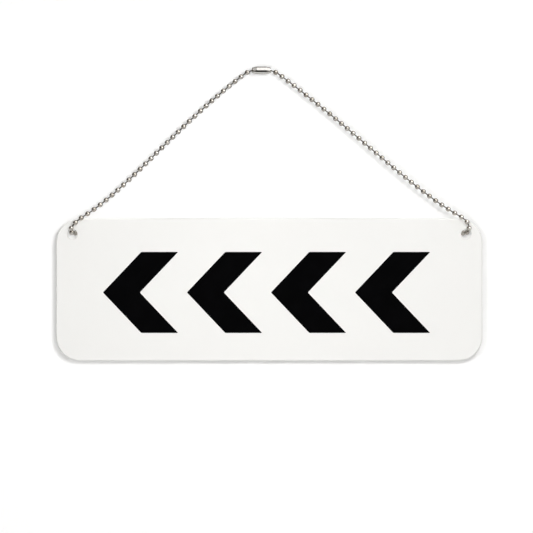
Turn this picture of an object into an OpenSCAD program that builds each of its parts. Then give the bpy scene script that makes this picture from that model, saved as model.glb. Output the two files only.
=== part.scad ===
// Hanging notice plate: a white plastic plate on one closed loop of ball chain.
// Millimetres. +Z is up, the printed face looks towards -Y, +X runs along the plate.
// The origin is the point where a hook bears on the chain, under the connector.
// The chain is one loop: down each side in front of the plate, through the two holes and
// along the back. Its beads are hollow balls, and each pin has a round head in two of them.

/* [Plate] */
// Width of the plate
plate_w = 300; // [220:1:420]
// Height of the plate
plate_h = 100; // [70:1:160]
// Thickness of the plate
plate_t = 3; // [2:0.1:3.6]
// Radius of the four corners, seen from the front
corner_r = 17; // [8:0.5:30]
// Rounding of the edges where the faces meet the rim
edge_r = 0.9; // [0.3:0.1:0.9]

/* [Chain holes in the plate] */
// Diameter of each hole
hole_d = 7; // [6.6:0.1:8]
// Distance from the middle of a hole to the side edge
hole_side = 11.5; // [9:0.5:16]
// Distance from the middle of a hole to the top edge
hole_top = 11; // [9:0.5:14]
// Bevel round both mouths of a hole
hole_bevel = 0.3; // [0.1:0.1:0.5]

/* [Ball chain] */
// Diameter of a bead
bead_d = 3.6; // [3.4:0.05:3.8]
// Thickness of a bead's sheet wall
bead_wall = 0.2; // [0.16:0.01:0.24]
// Diameter of the two holes in a bead
bead_hole_d = 1.12; // [1.1:0.01:1.16]
// Distance from bead to bead
bead_pitch = 5.3; // [5.1:0.1:5.6]
// Diameter of a pin between two beads
pin_d = 0.84; // [0.7:0.01:0.86]
// Diameter of the round head at each end of a pin
pin_head_d = 1.24; // [1.2:0.01:1.26]
// Free space between the two pin heads in one bead
head_gap = 0.16; // [0.12:0.01:0.2]

/* [Connector] */
// Length of the connector barrel
barrel_l = 13.5; // [12.5:0.1:16]
// Outer diameter of the barrel
barrel_d = 5.4; // [5:0.1:6]
// Thickness of the barrel's sheet wall
barrel_wall = 0.35; // [0.25:0.05:0.45]
// Rounding of the barrel's ends
barrel_round = 0.8; // [0.7:0.1:1]
// Angle at which the barrel narrows towards its ends
barrel_taper = 12; // [8:1:16]
// Diameter of the hole in each end
barrel_hole_d = 2.2; // [2.1:0.1:2.4]
// Width of the slit along the barrel
slit_w = 0.9; // [0.9:0.1:1.3]
// Angle of the slit below straight ahead
slit_down = 16; // [0:1:45]
// Play between an end bead and the rim of the hole it bears on
end_play = 0.1; // [0.05:0.01:0.3]

/* [How the chain hangs] */
// Height of the barrel's axis above the holes
drop = 115.3; // [90:0.1:160]
// How far the middle of the barrel lies left of the plate's middle
barrel_left = 5.5; // [2:0.1:6]
// How much flatter than straight the left run is where it passes the plate's top edge
left_low_ease = 8.7; // [0:0.1:12]
// How much flatter than straight the left run is near the barrel
left_top_ease = 3; // [0:0.1:8]
// How far in from its hole the left run passes the top edge
left_cross = 8.4; // [7:0.1:10]
// How much flatter than straight the right run is where it passes the plate's top edge
right_low_ease = 7.7; // [0:0.1:12]
// How much flatter than straight the right run is near the barrel
right_top_ease = 1; // [0:0.1:8]
// How far in from its hole the right run passes the top edge
right_cross = 4.8; // [4:0.1:9]
// Sag of the run behind the plate
back_sag = 2; // [0:0.5:6]

/* [How the chain passes the holes] */
// Gap between a hole's wall and the bead in it
seat_gap = 0.25; // [0.1:0.05:0.4]
// Where the bead lies in its hole, as an angle above the outer side
seat_angle = 64; // [50:1:75]
// How far the front of that bead is tipped up
bead_tip = 17.2; // [16:0.1:20]
// How far the front of that bead is turned outwards
bead_turn = 15; // [12:0.5:18]
// How far the chain points down where it leaves that bead behind the plate
back_tip = 7; // [4:1:10]
// How far the chain is turned inwards where it leaves that bead behind the plate
back_turn = 33; // [28:1:36]
// Gap between the front face and the chain at the top edge
front_gap = 3.7; // [3.4:0.1:4.4]
// Gap between the back face and the chain behind it
back_gap = 3.8; // [3.6:0.1:5]

/* [Hidden] */
$fn = 64;
cut = 1;
LEFT = -1;
RIGHT = 1;

// The plate hangs with its middle thickness under the hook.
barrel_z = barrel_d / 2;
hole_x = plate_w / 2 - hole_side;
hole_z = barrel_z - drop;
plate_mid_z = hole_z + hole_top - plate_h / 2;
rim_r = min(edge_r, plate_t * 0.45);

// A pin turns in a bead's hole at the middle of the wall, which is the neck.
bead_r = bead_d / 2;
bead_inner_r = bead_r - bead_wall;
bead_hole_r = bead_hole_d / 2;
neck = (sqrt(pow(bead_r, 2) - pow(bead_hole_r, 2)) + sqrt(pow(bead_inner_r, 2) - pow(bead_hole_r, 2))) / 2;
head_at = (pin_head_d + head_gap) / 2;
pin_l = bead_pitch - 2 * head_at;

// The bead in a hole, and how its front end points.
seat_r = hole_d / 2 - bead_r - seat_gap;
seat_out = seat_r * cos(seat_angle);
seat_up = seat_r * sin(seat_angle);
front_hold = 4.4;
cross_hold = 10.4;
cross_rise = 1.5;
low_share = 0.25;
high_share = 0.42;
back_hold = 7.1;
level_hold = 10.6;
back_reach = 11;
level_rise = 0.5;
front_y = -(plate_t / 2 + bead_r + front_gap);
back_y = plate_t / 2 + bead_r + back_gap;

// The end bead in the barrel, and the bend where the chain leaves it.
end_seat = sqrt(pow(bead_r, 2) - pow(barrel_hole_d / 2, 2));
end_bead_at = barrel_l / 2 - barrel_wall - end_play - end_seat;
neck_reach = 8;
neck_hold = 2.7;
neck_slope = 5;
end_lip = 0.2;
arc_steps = 8;

// Curves, and the points that lie along them at equal steps
curve_steps = 48;
function unit(v) = v / norm(v);
function last(list) = list[len(list) - 1];
function bezier(c, t) = pow(1 - t, 3) * c[0] + 3 * pow(1 - t, 2) * t * c[1]
    + 3 * (1 - t) * pow(t, 2) * c[2] + pow(t, 3) * c[3];
// A curve that leaves one point along a direction and reaches the next along another
function curve(from, from_dir, from_hold, to, to_dir, to_hold) =
    [from, from + from_hold * from_dir, to - to_hold * to_dir, to];
function trace(curves) =
    concat([for (c = curves, i = [0:curve_steps - 1]) bezier(c, i / curve_steps)], [last(last(curves))]);
function marks(points) =
    [for (i = 0, s = 0; i < len(points); i = i + 1,
          s = i < len(points) ? s + norm(points[i] - points[i - 1]) : s) s];
function column(points, along, k) = [for (i = [0:len(points) - 1]) [along[i], points[i][k]]];
// Bead centres along the curves, as near to the pitch as a whole number of links allows
function beads_along(curves) =
    let (points = trace(curves), along = marks(points), links = round(last(along) / bead_pitch),
         xs = column(points, along, 0), ys = column(points, along, 1), zs = column(points, along, 2))
    [for (k = [0:links]) let (s = last(along) * k / links) [lookup(s, xs), lookup(s, ys), lookup(s, zs)]];
// Each bead lies along the line from the bead before it to the one after it
function bead_axes(beads, first, final) =
    [for (k = [0:len(beads) - 1])
        k == 0 ? first : k == len(beads) - 1 ? final : unit(beads[k + 1] - beads[k - 1])];

// Directions and places on one side of the plate
function hole_bead(side) = [side * (hole_x + seat_out), 0, hole_z + seat_up];
function hole_axis(side) =
    [side * sin(bead_turn), -cos(bead_turn) * cos(bead_tip), cos(bead_turn) * sin(bead_tip)];
function end_bead(side) = [side * end_bead_at - barrel_left, 0, barrel_z];
function end_axis(side) = [-side * cos(neck_slope), 0, sin(neck_slope)];

function back_dir(side) =
    [-side * sin(back_turn), cos(back_turn) * cos(back_tip), -cos(back_turn) * sin(back_tip)];

// The front run on one side, from the bead in the hole up to the bead in the barrel
function front_curves(side, low_ease, top_ease, cross) =
    let (start = hole_bead(side), end = end_bead(side),
         low = [side * (hole_x - cross), front_y, hole_z + hole_top + cross_rise],
         slope = atan2(end.z - low.z, side * (low.x - end.x)),
         mean_slope = (slope - top_ease + neck_slope) / 2,
         high = end + neck_reach * [side * cos(mean_slope), 0, -sin(mean_slope)],
         lean = -front_y / norm(high - low),
         low_dir = unit([-side * cos(slope - low_ease), lean, sin(slope - low_ease)]),
         high_dir = unit([-side * cos(slope - top_ease), lean, sin(slope - top_ease)]),
         run = norm(high - low))
    [curve(start, hole_axis(side), front_hold, low, low_dir, cross_hold),
     curve(low, low_dir, low_share * run, high, high_dir, high_share * run),
     curve(high, high_dir, neck_hold, end, end_axis(side), neck_hold)];

// The run behind the plate, from the left hole to the right
function back_curves() =
    let (start = hole_bead(LEFT), end = hole_bead(RIGHT),
         inner = hole_x - back_reach, hold = 2 * inner / 3,
         down = unit([hold, 0, -back_sag * 4 / 3]), up = unit([hold, 0, back_sag * 4 / 3]),
         level = hole_z + level_rise,
         first = [-inner, back_y, level], second = [inner, back_y, level])
    [curve(start, back_dir(LEFT), back_hold, first, down, level_hold),
     curve(first, down, hold, second, up, hold),
     curve(second, up, level_hold, end, -back_dir(RIGHT), back_hold)];

left_beads = beads_along(front_curves(LEFT, left_low_ease, left_top_ease, left_cross));
right_beads = beads_along(front_curves(RIGHT, right_low_ease, right_top_ease, right_cross));
back_beads = beads_along(back_curves());
left_axes = bead_axes(left_beads, hole_axis(LEFT), end_axis(LEFT));
right_axes = bead_axes(right_beads, hole_axis(RIGHT), end_axis(RIGHT));
back_axes = bead_axes(back_beads, -hole_axis(LEFT), hole_axis(RIGHT));
left_links = len(left_beads) - 1;
right_links = len(right_beads) - 1;
back_links = len(back_beads) - 1;

// Stands a piece that is drawn along Z at a point and along a direction
module stand(point, dir)
    translate(point) rotate([0, acos(dir.z / norm(dir)), atan2(dir.y, dir.x)]) children();

module bead()
    difference() {
        sphere(r = bead_r);
        sphere(r = bead_inner_r);
        cylinder(r = bead_hole_r, h = bead_d + cut, center = true);
    }

module pin() {
    cylinder(d = pin_d, h = pin_l, center = true);
    for (end = [-1, 1])
        translate([0, 0, end * pin_l / 2]) sphere(d = pin_head_d);
}

module beads_from(beads, axes, from, to)
    color("silver")
        for (k = [from:to])
            stand(beads[k], axes[k]) bead();

// Pin k joins bead k to the next, through the facing necks of the two
module pins_from(beads, axes, from, to)
    color("dimgray")
        for (k = [from:to])
            let (lower = beads[k] + neck * axes[k], upper = beads[k + 1] - neck * axes[k + 1])
                stand((lower + upper) / 2, upper - lower) pin();

// Half section of a plate's edge: straight from the middle line, with rounded corners
module edge_section(reach) {
    translate([0, -plate_t / 2]) square([reach - rim_r, plate_t]);
    translate([0, rim_r - plate_t / 2]) square([reach, plate_t - 2 * rim_r]);
    for (side = [-1, 1])
        translate([reach - rim_r, side * (plate_t / 2 - rim_r)]) circle(r = rim_r);
}

// A bar with rounded long edges, lying along X
module rounded_bar(length, width)
    rotate([90, 0, 90])
        linear_extrude(height = length, center = true) {
            edge_section(width / 2);
            mirror([1, 0]) edge_section(width / 2);
        }

module blank() {
    corner_x = plate_w / 2 - corner_r;
    corner_y = plate_h / 2 - corner_r;
    rounded_bar(2 * corner_x, plate_h);
    rotate([0, 0, 90]) rounded_bar(2 * corner_y, plate_w);
    for (x = [-corner_x, corner_x], y = [-corner_y, corner_y])
        translate([x, y, 0]) rotate_extrude() edge_section(corner_r);
}

module chain_hole() {
    cylinder(d = hole_d, h = plate_t + cut, center = true);
    for (face = [0, 1])
        mirror([0, 0, face])
            translate([0, 0, plate_t / 2 - hole_bevel])
                cylinder(d1 = hole_d, d2 = hole_d + 2 * (hole_bevel + cut), h = hole_bevel + cut);
}

module plate()
    color("white")
        translate([0, 0, plate_mid_z])
            rotate([90, 0, 0])
                difference() {
                    blank();
                    for (side = [LEFT, RIGHT])
                        translate([side * hole_x, plate_h / 2 - hole_top, 0]) chain_hole();
                }

// Half section of a barrel that narrows towards its rounded ends. Its wall's inner side is the
// same section, drawn further in by the wall.
module barrel_section(inset) {
    radius = barrel_d / 2 - inset;
    centre = [barrel_hole_d / 2 + end_lip, barrel_l / 2 - barrel_round];
    arc = [for (i = [0:arc_steps])
        let (a = barrel_taper + (90 - barrel_taper) * i / arc_steps)
            centre + (barrel_round - inset) * [cos(a), sin(a)]];
    narrows_from = arc[0].y - (radius - arc[0].x) / tan(barrel_taper);
    half = concat([[radius, narrows_from]], arc, [[0, last(arc).y]]);
    polygon(concat(half, [for (i = [len(half) - 1:-1:0]) [half[i].x, -half[i].y]]));
}

module connector()
    color("silver")
        translate([-barrel_left, 0, barrel_z])
            rotate([slit_down, 0, 0])
                difference() {
                    rotate([0, 90, 0])
                        rotate_extrude()
                            difference() {
                                barrel_section(0);
                                barrel_section(barrel_wall);
                                translate([0, -barrel_l]) square([barrel_hole_d / 2, 2 * barrel_l]);
                            }
                    translate([-barrel_l / 2 - cut, -barrel_d, -slit_w / 2])
                        cube([barrel_l + 2 * cut, barrel_d, slit_w]);
                }

module left_run_beads() beads_from(left_beads, left_axes, 1, left_links - 1);
module left_run_pins() pins_from(left_beads, left_axes, 1, left_links - 2);
module left_end_bead() beads_from(left_beads, left_axes, left_links, left_links);
module left_end_pin() pins_from(left_beads, left_axes, left_links - 1, left_links - 1);
module left_hole_bead() beads_from(left_beads, left_axes, 0, 0);
module left_hole_pin() pins_from(left_beads, left_axes, 0, 0);
module right_run_beads() beads_from(right_beads, right_axes, 1, right_links - 1);
module right_run_pins() pins_from(right_beads, right_axes, 1, right_links - 2);
module right_end_bead() beads_from(right_beads, right_axes, right_links, right_links);
module right_end_pin() pins_from(right_beads, right_axes, right_links - 1, right_links - 1);
module right_hole_bead() beads_from(right_beads, right_axes, 0, 0);
module right_hole_pin() pins_from(right_beads, right_axes, 0, 0);
module back_run_beads() beads_from(back_beads, back_axes, 1, back_links - 1);
module back_run_pins() pins_from(back_beads, back_axes, 0, back_links - 1);

plate();
connector();
left_run_beads();
left_run_pins();
left_end_bead();
left_end_pin();
left_hole_bead();
left_hole_pin();
right_run_beads();
right_run_pins();
right_end_bead();
right_end_pin();
right_hole_bead();
right_hole_pin();
back_run_beads();
back_run_pins();
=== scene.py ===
# Hanging notice plate on a loop of ball chain: finishes, printed arrows, backdrop, light and camera.
import math

import bpy
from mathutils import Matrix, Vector


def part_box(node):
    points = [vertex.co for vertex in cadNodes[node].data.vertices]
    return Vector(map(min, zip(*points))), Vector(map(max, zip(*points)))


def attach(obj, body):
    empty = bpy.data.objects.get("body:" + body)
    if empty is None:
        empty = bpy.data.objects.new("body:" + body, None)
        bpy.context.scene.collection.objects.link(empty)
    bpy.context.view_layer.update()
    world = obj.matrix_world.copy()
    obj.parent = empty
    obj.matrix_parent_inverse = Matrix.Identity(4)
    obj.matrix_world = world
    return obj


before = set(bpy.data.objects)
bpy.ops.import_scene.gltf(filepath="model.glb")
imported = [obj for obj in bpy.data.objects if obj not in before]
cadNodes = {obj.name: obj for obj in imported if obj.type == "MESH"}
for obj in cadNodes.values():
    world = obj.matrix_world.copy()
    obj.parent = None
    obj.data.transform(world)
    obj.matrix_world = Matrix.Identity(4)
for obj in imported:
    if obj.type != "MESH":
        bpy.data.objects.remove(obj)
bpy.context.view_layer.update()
print("frame loaded,", len(cadNodes), "nodes")

millimetre = 0.001


# helpers that put nodes together: a source is a socket, which is linked, or a plain value, which is set
def addNode(tree, kind, **settings):
    node = tree.nodes.new(kind)
    for name, value in settings.items():
        setattr(node, name, value)
    return node


def feed(tree, socket, source):
    if isinstance(source, bpy.types.NodeSocket):
        tree.links.new(source, socket)
    else:
        socket.default_value = source


def freshMaterial(name):
    material = bpy.data.materials.new(name)
    material.use_nodes = True
    tree = material.node_tree
    return material, tree, tree.nodes["Principled BSDF"], addNode(tree, "ShaderNodeTexCoord")


def noiseOf(tree, place, scale, detail, roughness=0.5):
    noise = addNode(tree, "ShaderNodeTexNoise")
    noise.inputs["Scale"].default_value = scale
    noise.inputs["Detail"].default_value = detail
    noise.inputs["Roughness"].default_value = roughness
    tree.links.new(place, noise.inputs["Vector"])
    return noise.outputs["Fac"]


def spread(tree, value, toRange, fromRange, clamp=True):
    ranged = addNode(tree, "ShaderNodeMapRange", clamp=clamp)
    ranged.inputs["To Min"].default_value, ranged.inputs["To Max"].default_value = toRange
    ranged.inputs["From Min"].default_value, ranged.inputs["From Max"].default_value = fromRange
    tree.links.new(value, ranged.inputs["Value"])
    return ranged.outputs["Result"]


def maths(tree, operation, first, second=0.0):
    node = addNode(tree, "ShaderNodeMath", operation=operation)
    feed(tree, node.inputs[0], first)
    feed(tree, node.inputs[1], second)
    return node.outputs[0]


def vectorMaths(tree, operation, first, second=(0, 0, 0)):
    node = addNode(tree, "ShaderNodeVectorMath", operation=operation)
    feed(tree, node.inputs[0], first)
    feed(tree, node.inputs[1], second)
    return node.outputs["Value" if operation in ("DOT_PRODUCT", "DISTANCE") else "Vector"]


def mixColours(tree, factor, first, second):
    mix = addNode(tree, "ShaderNodeMix", data_type="RGBA")
    for socket, colour in (("A", first), ("B", second)):
        target = [s for s in mix.inputs if s.name == socket and s.type == "RGBA"][0]
        feed(tree, target, (*colour, 1) if isinstance(colour, tuple) else colour)
    tree.links.new(factor, mix.inputs["Factor"])
    return [s for s in mix.outputs if s.type == "RGBA"][0]


def bumpFrom(tree, height, distance, strength, below=None):
    bump = addNode(tree, "ShaderNodeBump")
    bump.inputs["Distance"].default_value = distance
    bump.inputs["Strength"].default_value = strength
    tree.links.new(height, bump.inputs["Height"])
    if below is not None:
        tree.links.new(below, bump.inputs["Normal"])
    return bump.outputs["Normal"]


def dress(names, material):
    for name in names:
        mesh = cadNodes[name].data
        mesh.materials.clear()
        mesh.materials.append(material)


# plate: smooth white plastic sheet, with painted shade making it a trace darker where the edge is rounded
# scales are per metre, depths are in metres
plateFinish = {
    "white": (0.900, 0.894, 0.873),
    "warmer": (0.896, 0.890, 0.868),
    # painted shade: the rounded edge's darker colour stands in for the shade it turns into
    "rim": (0.860, 0.853, 0.828),
    "rimFade": (0.3, 0.95),      # how squarely a face looks front or back: painted rim shade below, sheet above
    "roughness": (0.27, 0.32),
    "smear": 38.0,               # patches that are a trace duller
    "cloud": 14.0,               # faint changes of shade
    "noiseRange": (0.1, 0.9),
    "grain": {"scale": 2600.0, "depth": 0.00002, "strength": 0.25},
    "waves": {"scale": 30.0, "depth": 0.0004, "strength": 0.08},    # slow waviness that bends reflections
    "ior": 1.49,
    "gloss": 0.3,
    "coat": 0.1,
    "coatRoughness": 0.12,
}


def makePlatePlastic():
    material, tree, shader, coords = freshMaterial("whiteSheetPlastic")
    place = coords.outputs["Object"]
    grain, waves, noiseRange = (plateFinish[key] for key in ("grain", "waves", "noiseRange"))
    cloud = spread(tree, noiseOf(tree, place, plateFinish["cloud"], 1), (0, 1), noiseRange)
    sheet = mixColours(tree, cloud, plateFinish["white"], plateFinish["warmer"])
    split = addNode(tree, "ShaderNodeSeparateXYZ")
    tree.links.new(coords.outputs["Normal"], split.inputs[0])
    # painted shade: faces that turn away from front and back get the darker rim colour
    onPaintedRimShade = spread(tree, maths(tree, "ABSOLUTE", split.outputs["Y"]), (1, 0), plateFinish["rimFade"])
    tree.links.new(mixColours(tree, onPaintedRimShade, sheet, plateFinish["rim"]), shader.inputs["Base Color"])
    smear = noiseOf(tree, place, plateFinish["smear"], 1)
    tree.links.new(spread(tree, smear, plateFinish["roughness"], noiseRange), shader.inputs["Roughness"])
    grained = bumpFrom(tree, noiseOf(tree, place, grain["scale"], 2), grain["depth"], grain["strength"])
    waved = bumpFrom(tree, noiseOf(tree, place, waves["scale"], 0), waves["depth"], waves["strength"], grained)
    tree.links.new(waved, shader.inputs["Normal"])
    shader.inputs["IOR"].default_value = plateFinish["ior"]
    shader.inputs["Specular IOR Level"].default_value = plateFinish["gloss"]
    shader.inputs["Coat Weight"].default_value = plateFinish["coat"]
    shader.inputs["Coat Roughness"].default_value = plateFinish["coatRoughness"]
    return material


# chain and connector: bright nickel over rolled sheet, and for the pins a near-black wire whose darkness is
# painted shade between the beads
nickelFinish = {
    "bead": {
        "bright": (0.70, 0.67, 0.62),
        "dull": (0.40, 0.36, 0.30),
        "roughness": (0.10, 0.22),
        "dents": 620.0,          # per metre
    },
    "barrel": {
        "bright": (0.82, 0.805, 0.775),
        "dull": (0.70, 0.68, 0.645),
        "roughness": (0.12, 0.22),
        "dents": 260.0,
    },
    # painted shade: the pins are coloured near black for the shade in the gaps between the beads
    "pin": {
        "bright": (0.11, 0.098, 0.084),
        "dull": (0.065, 0.056, 0.046),
        "roughness": (0.30, 0.45),
        "dents": 900.0,
    },
}
nickelSurface = {
    "stain": {"ofDents": 0.5, "detail": 4, "roughness": 0.6, "range": (0.4, 0.7)},
    "smear": {"detail": 3, "range": (0.3, 0.7)},
    "dent": {"depth": 0.0001, "strength": 0.18},
    "fine": {"ofDents": 9, "depth": 0.00001, "strength": 0.2},
}


def makeNickel(name, finish):
    material, tree, shader, coords = freshMaterial(name)
    place, dents = coords.outputs["Object"], finish["dents"]
    stain, smear, dent, fine = (nickelSurface[key] for key in ("stain", "smear", "dent", "fine"))
    stains = noiseOf(tree, place, dents * stain["ofDents"], stain["detail"], stain["roughness"])
    colour = mixColours(tree, spread(tree, stains, (0, 1), stain["range"]), finish["bright"], finish["dull"])
    tree.links.new(colour, shader.inputs["Base Color"])
    smears = noiseOf(tree, place, dents, smear["detail"])
    tree.links.new(spread(tree, smears, finish["roughness"], smear["range"]), shader.inputs["Roughness"])
    dented = bumpFrom(tree, noiseOf(tree, place, dents, 2), dent["depth"], dent["strength"])
    finer = noiseOf(tree, place, dents * fine["ofDents"], 2)
    tree.links.new(bumpFrom(tree, finer, fine["depth"], fine["strength"], dented), shader.inputs["Normal"])
    shader.inputs["Metallic"].default_value = 1
    return material


# barrel: painted shade, a dark colour on its inner side and along the two edges of its slit, where the inside lies
# in shade
barrelPaintedShade = {
    "colour": (0.060, 0.048, 0.038),
    "roughness": 0.55,
    "slitDown": 16,              # degrees that the slit sits below the front
    "innerShadeFade": (0.05, 0.3),    # how far a face looks away from the barrel's axis: painted shade below, nickel above
    "slitShadeFade": (0.962, 0.976),  # how near a point lies to the slit's middle: nickel below, painted shade above
}


def paintShadeInside(material, axisPoint, slitDirection):
    tree = material.node_tree
    shader = tree.nodes["Principled BSDF"]
    coords = addNode(tree, "ShaderNodeTexCoord")
    fromAxis = vectorMaths(tree, "SUBTRACT", coords.outputs["Object"], axisPoint)
    outward = vectorMaths(tree, "NORMALIZE", vectorMaths(tree, "MULTIPLY", fromAxis, (0, 1, 1)))
    facing = vectorMaths(tree, "DOT_PRODUCT", outward, coords.outputs["Normal"])
    toSlit = vectorMaths(tree, "DOT_PRODUCT", outward, slitDirection)
    # painted shade: dark colour and higher roughness on the inner faces and along the slit
    inside = maths(tree, "MAXIMUM", spread(tree, facing, (1, 0), barrelPaintedShade["innerShadeFade"]),
                   spread(tree, toSlit, (0, 1), barrelPaintedShade["slitShadeFade"]))
    colour, roughness = shader.inputs["Base Color"], shader.inputs["Roughness"]
    tree.links.new(mixColours(tree, inside, colour.links[0].from_socket, barrelPaintedShade["colour"]), colour)
    blend = addNode(tree, "ShaderNodeMix")
    tree.links.new(inside, blend.inputs["Factor"])
    tree.links.new(roughness.links[0].from_socket, blend.inputs["A"])
    blend.inputs["B"].default_value = barrelPaintedShade["roughness"]
    tree.links.new(blend.outputs[0], roughness)


dress(["plate"], makePlatePlastic())
beadNickel = makeNickel("beadNickel", nickelFinish["bead"])
barrelNickel = makeNickel("barrelNickel", nickelFinish["barrel"])
pinWirePaintedShade = makeNickel("pinWirePaintedShade", nickelFinish["pin"])
dress([name for name in cadNodes if "bead" in name], beadNickel)
dress([name for name in cadNodes if "pin" in name], pinWirePaintedShade)
dress(["connector"], barrelNickel)
barrelLow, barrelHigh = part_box("connector")
toBarrel = cadNodes["connector"].matrix_world.inverted()
slitAngle = math.radians(barrelPaintedShade["slitDown"])
paintShadeInside(barrelNickel, toBarrel @ ((barrelLow + barrelHigh) / 2),
             toBarrel.to_3x3() @ Vector((0, -math.cos(slitAngle), -math.sin(slitAngle))))
print("finishes on the CAD nodes")


# printed arrows: a thin film of black ink on the front face, sizes in millimetres
arrowPrint = {
    "count": 4,
    "pitch": 59.1,           # from one arrow to the next
    "width": 53.0,
    "height": 57.0,
    "stroke": 26.0,          # along the plate
    "middle": (-1.9, -2.0),  # right of and above the plate's middle
    "corner": 0.7,
    "cornerSteps": 4,
    "film": 0.03,
    "gap": 0.01,             # air that keeps the film and the sheet from flickering
    "weld": 0.1,
    "flatAngle": 0.02,       # radians; a flatter edge between two faces is dissolved
}
inkFinish = {
    "ink": (0.0010, 0.0010, 0.0012),
    "paler": 1.7,            # times as bright where the ink is thin
    "cloud": 90.0,
    "thinRange": (0.4, 0.7),
    "roughness": (0.40, 0.52),
    "roughRange": (0.3, 0.7),
    "gloss": 0.015,
    "grain": {"scale": 3200.0, "depth": 0.00001, "strength": 0.3},
}


def makeInk():
    material, tree, shader, coords = freshMaterial("blackInk")
    place, ink, grain = coords.outputs["Object"], inkFinish["ink"], inkFinish["grain"]
    cloud = noiseOf(tree, place, inkFinish["cloud"], 3)
    thin = tuple(channel * inkFinish["paler"] for channel in ink)
    colour = mixColours(tree, spread(tree, cloud, (0, 1), inkFinish["thinRange"]), ink, thin)
    tree.links.new(colour, shader.inputs["Base Color"])
    roughness = spread(tree, cloud, inkFinish["roughness"], inkFinish["roughRange"])
    tree.links.new(roughness, shader.inputs["Roughness"])
    grained = bumpFrom(tree, noiseOf(tree, place, grain["scale"], 2), grain["depth"], grain["strength"])
    tree.links.new(grained, shader.inputs["Normal"])
    shader.inputs["Specular IOR Level"].default_value = inkFinish["gloss"]
    return material


def selectVerts(mesh, test):
    bpy.ops.mesh.select_all(action="DESELECT")
    bpy.ops.object.mode_set(mode="OBJECT")
    for vert in mesh.vertices:
        vert.select = test(vert.co)
    bpy.ops.object.mode_set(mode="EDIT")


def makeArrow(name, centre):
    width, height, stroke = (arrowPrint[key] * millimetre for key in ("width", "height", "stroke"))
    bpy.ops.object.select_all(action="DESELECT")
    bpy.ops.mesh.primitive_plane_add(size=1)
    arrow = bpy.context.object
    arrow.name = name
    bpy.ops.object.mode_set(mode="EDIT")
    bpy.ops.mesh.select_all(action="SELECT")
    bpy.ops.transform.resize(value=(stroke, height / 2, 1))
    bpy.ops.transform.translate(value=((stroke - width) / 2, height / 4, 0))
    selectVerts(arrow.data, lambda place: place.y > height / 4)
    bpy.ops.transform.translate(value=(width - stroke, 0, 0))   # leans the upper arm to the right
    bpy.ops.mesh.select_all(action="SELECT")
    bpy.ops.mesh.duplicate()
    bpy.ops.transform.resize(value=(1, -1, 1), center_override=(0, 0, 0))   # the lower arm mirrors it
    bpy.ops.mesh.select_all(action="SELECT")
    bpy.ops.mesh.remove_doubles(threshold=arrowPrint["weld"] * millimetre)
    bpy.ops.mesh.normals_make_consistent(inside=False)
    bpy.ops.mesh.dissolve_limited(angle_limit=arrowPrint["flatAngle"])
    bpy.ops.mesh.select_all(action="SELECT")
    bpy.ops.mesh.bevel(offset=arrowPrint["corner"] * millimetre, segments=arrowPrint["cornerSteps"],
                       affect="VERTICES")
    bpy.ops.mesh.extrude_region_move(TRANSFORM_OT_translate={"value": (0, 0, arrowPrint["film"] * millimetre)})
    bpy.ops.mesh.select_all(action="SELECT")
    bpy.ops.mesh.normals_make_consistent(inside=False)
    bpy.ops.object.mode_set(mode="OBJECT")
    arrow.rotation_euler = (math.pi / 2, 0, 0)
    arrow.location = centre
    bpy.ops.object.transform_apply(location=True, rotation=True, scale=True)
    return arrow


plateLow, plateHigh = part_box("plate")
plateMiddle = (plateLow + plateHigh) / 2
blackInk = makeInk()
for index in range(arrowPrint["count"]):
    across = arrowPrint["middle"][0] + (index - (arrowPrint["count"] - 1) / 2) * arrowPrint["pitch"]
    centre = Vector((plateMiddle.x + across * millimetre, plateLow.y - arrowPrint["gap"] * millimetre,
                     plateMiddle.z + arrowPrint["middle"][1] * millimetre))
    arrow = makeArrow(f"printedArrow{index + 1}", centre)
    arrow.data.materials.append(blackInk)
    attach(arrow, "plate")
print("arrows printed")


# white wall close behind the chain, and a floor: the wall shows from its front only, so the back view is open
# metres; the glow is seen by the camera alone and grows with distance, which keeps the unshaded parts white
studio = {
    "wallY": 0.0096,
    "wallSize": (1.0, 0.86),
    "floorZ": -0.36,
    "floorSize": (4.0, 4.0),
    "wallWhite": (0.93, 0.93, 0.925),
    "floorWhite": (0.60, 0.60, 0.597),
    "shade": 0.99,                 # faint clouds in the white
    "middle": (0, 0.0096, -0.134),
    "glowReach": 0.6,              # distance from the middle of the second number of each glow
    "wallGlow": (0.115, 0.50),
    "floorGlow": (0.40, 0.55),
}


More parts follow.
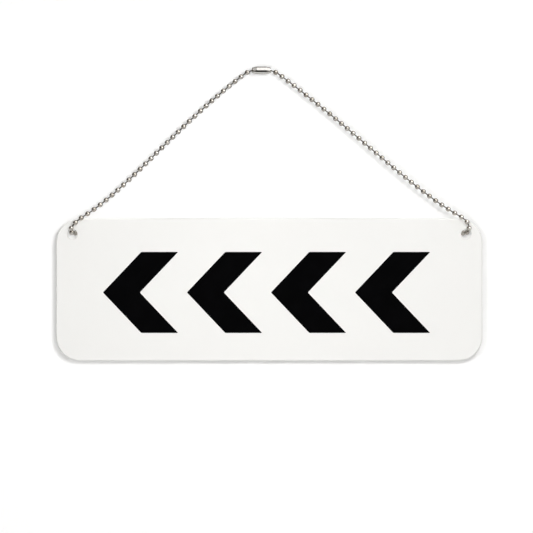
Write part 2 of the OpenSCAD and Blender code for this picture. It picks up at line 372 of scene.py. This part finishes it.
def makeStageWhite(name, glowing, oneSided):
    material, tree, shader, coords = freshMaterial(name)
    tree.nodes.remove(shader)
    surface = tree.nodes["Material Output"].inputs["Surface"]
    place = coords.outputs["Object"]
    seen = addNode(tree, "ShaderNodeLightPath").outputs["Is Camera Ray"]
    white = studio[name]
    clouded = tuple(channel * studio["shade"] for channel in white)
    diffuse = addNode(tree, "ShaderNodeBsdfDiffuse")
    tree.links.new(mixColours(tree, noiseOf(tree, place, 3, 2), white, clouded), diffuse.inputs["Color"])
    squared = maths(tree, "POWER", vectorMaths(tree, "DISTANCE", place, studio["middle"]), 2)
    growing = spread(tree, squared, glowing, (0, studio["glowReach"] ** 2), clamp=False)
    glow = addNode(tree, "ShaderNodeEmission")
    tree.links.new(maths(tree, "MULTIPLY", growing, seen), glow.inputs["Strength"])
    both = addNode(tree, "ShaderNodeAddShader")
    tree.links.new(diffuse.outputs[0], both.inputs[0])
    tree.links.new(glow.outputs[0], both.inputs[1])
    if not oneSided:
        tree.links.new(both.outputs[0], surface)
        return material
    front = maths(tree, "SUBTRACT", 1, addNode(tree, "ShaderNodeNewGeometry").outputs["Backfacing"])
    mix = addNode(tree, "ShaderNodeMixShader")
    tree.links.new(maths(tree, "MULTIPLY", seen, front), mix.inputs[0])
    tree.links.new(addNode(tree, "ShaderNodeBsdfTransparent").outputs[0], mix.inputs[1])
    tree.links.new(both.outputs[0], mix.inputs[2])
    tree.links.new(mix.outputs[0], surface)
    return material


def makeStagePlane(name, material, size, location, rotation=(0, 0, 0)):
    bpy.ops.object.select_all(action="DESELECT")
    bpy.ops.mesh.primitive_plane_add(size=1)
    plane = bpy.context.object
    plane.name = name
    plane.scale = (*size, 1)
    plane.rotation_euler = rotation
    plane.location = location
    bpy.ops.object.transform_apply(location=True, rotation=True, scale=True)
    plane.data.materials.append(material)


wallMiddle = (0, studio["wallY"], studio["floorZ"] + studio["wallSize"][1] / 2)
makeStagePlane("studioWall", makeStageWhite("wallWhite", studio["wallGlow"], True),
               studio["wallSize"], wallMiddle, (math.pi / 2, 0, 0))
makeStagePlane("studioFloor", makeStageWhite("floorWhite", studio["floorGlow"], False),
               studio["floorSize"], (0, 0, studio["floorZ"]))
print("backdrop set")


# world: metal mirrors a bright patch up on the right and a pale one up behind, all else gets soft light from above
surround = {
    "ambient": (0.03, 0.44),           # from straight below and from straight above
    "ambientColour": (1, 0.995, 0.985),
    "brightSide": (0.40, -0.52, 0.45),
    "mirror": (                        # 0 is straight away from the bright side and 1 straight towards it
        (0.64, (0.016, 0.010, 0.006)),
        (0.75, (0.17, 0.15, 0.13)),
        (0.83, (1.25, 1.25, 1.24)),
    ),
    "paleSide": (-0.35, 0.75, 0.45),
    "paleColour": (0.8, 0.8, 0.8),
    "paleGlow": (0, 0.55),
    "paleFade": (0.45, 0.88),
}


def background(tree, colour=(1, 1, 1), strength=1.0):
    node = addNode(tree, "ShaderNodeBackground")
    feed(tree, node.inputs["Color"], (*colour, 1) if isinstance(colour, tuple) else colour)
    feed(tree, node.inputs["Strength"], strength)
    return node.outputs[0]


def chosenBy(tree, ray, otherwise, chosen):
    mix = addNode(tree, "ShaderNodeMixShader")
    for socket, source in zip(mix.inputs, (ray, otherwise, chosen)):
        tree.links.new(source, socket)
    return mix.outputs[0]


def makeWorld():
    world = bpy.data.worlds.new("studioWorld")
    bpy.context.scene.world = world
    world.use_nodes = True
    tree = world.node_tree
    for node in list(tree.nodes):
        tree.nodes.remove(node)
    direction = addNode(tree, "ShaderNodeTexCoord").outputs["Generated"]
    rays = addNode(tree, "ShaderNodeLightPath")
    heights = addNode(tree, "ShaderNodeSeparateXYZ")
    tree.links.new(direction, heights.inputs[0])
    strength = spread(tree, heights.outputs["Z"], surround["ambient"], (-1, 1))
    ambient = background(tree, surround["ambientColour"], strength)
    towards = vectorMaths(tree, "DOT_PRODUCT", direction, Vector(surround["brightSide"]).normalized())
    ramp = addNode(tree, "ShaderNodeValToRGB")
    ramp.color_ramp.elements.new(0.5)
    for stop, (position, colour) in zip(ramp.color_ramp.elements, surround["mirror"]):
        stop.position = position
        stop.color = (*colour, 1)
    tree.links.new(spread(tree, towards, (0, 1), (-1, 1)), ramp.inputs[0])
    behind = vectorMaths(tree, "DOT_PRODUCT", direction, Vector(surround["paleSide"]).normalized())
    pale = spread(tree, behind, surround["paleGlow"], surround["paleFade"])
    mirrored = addNode(tree, "ShaderNodeAddShader")
    tree.links.new(background(tree, ramp.outputs[0]), mirrored.inputs[0])
    tree.links.new(background(tree, surround["paleColour"], pale), mirrored.inputs[1])
    lit = chosenBy(tree, rays.outputs["Is Glossy Ray"], ambient, mirrored.outputs[0])
    seen = chosenBy(tree, rays.outputs["Is Camera Ray"], lit, background(tree))
    tree.links.new(seen, addNode(tree, "ShaderNodeOutputWorld").inputs["Surface"])


makeWorld()
print("world set")


# lamps: sizes and places in metres, power in watts; each aims at a point just above the plate's middle
lamps = {
    "soft": {"place": (0.20, -1.60, 0.05), "size": (0.80, 0.80), "power": 1.0, "seenBy": "diffuse"},
    "key": {"place": (0.16, -0.90, 0.05), "size": (0.15, 0.15), "power": 3.15, "seenBy": "diffuse"},
    "fill": {"place": (-0.06, -0.50, -0.105), "size": (0.10, 0.10), "power": 0.56, "seenBy": "diffuse"},
    "top": {"place": (0.0, -0.02, 0.90), "size": (0.50, 0.05), "power": 6.0, "seenBy": "diffuse"},
    "behind": {"place": (-0.35, 1.10, 0.45), "size": (0.60, 0.60), "power": 3.5, "seenBy": "diffuse"},
    "spark": {"place": (0.80, -0.90, 0.60), "size": (0.30, 0.30), "power": 5.0, "seenBy": "glossy"},
}
aimAboveMiddle = 0.03

aim = Vector((0, 0, plateMiddle.z + aimAboveMiddle))
for name, settings in lamps.items():
    bpy.ops.object.light_add(type="AREA", location=settings["place"])
    lamp = bpy.context.object
    lamp.name = name + "Lamp"
    lamp.data.shape = "RECTANGLE"
    lamp.data.size, lamp.data.size_y = settings["size"]
    lamp.data.energy = settings["power"]
    lamp.rotation_euler = (aim - lamp.location).to_track_quat("-Z", "Y").to_euler()
    lamp.visible_camera = False
    lamp.visible_glossy = settings["seenBy"] == "glossy"
    lamp.visible_diffuse = settings["seenBy"] == "diffuse"
print("lamps set")


# camera: straight on, scaled so that the plate falls where the photograph has it
photo = {
    "pixels": 533,
    "plateMiddle": (269.25, 289.6),   # the plate's middle in the photograph, in pixels
    "pixelsPerMillimetre": 1.4217,
    "distance": 2.0,
    "sensor": 36.0,
    "clipEnd": 20,
}
pixelsPerMetre = photo["pixelsPerMillimetre"] / millimetre
half = photo["pixels"] / 2
bpy.ops.object.camera_add()
camera = bpy.context.object
camera.name = "photoCamera"
camera.data.sensor_width = photo["sensor"]
camera.data.lens = pixelsPerMetre * photo["distance"] * photo["sensor"] / photo["pixels"]
camera.data.clip_end = photo["clipEnd"]
camera.location = (
    plateMiddle.x + (half - photo["plateMiddle"][0]) / pixelsPerMetre,
    plateLow.y - photo["distance"],
    plateMiddle.z + (photo["plateMiddle"][1] - half) / pixelsPerMetre,
)
camera.rotation_euler = (math.pi / 2, 0, 0)
bpy.context.scene.camera = camera
bpy.context.scene.view_settings.view_transform = "Standard"
print("camera set")
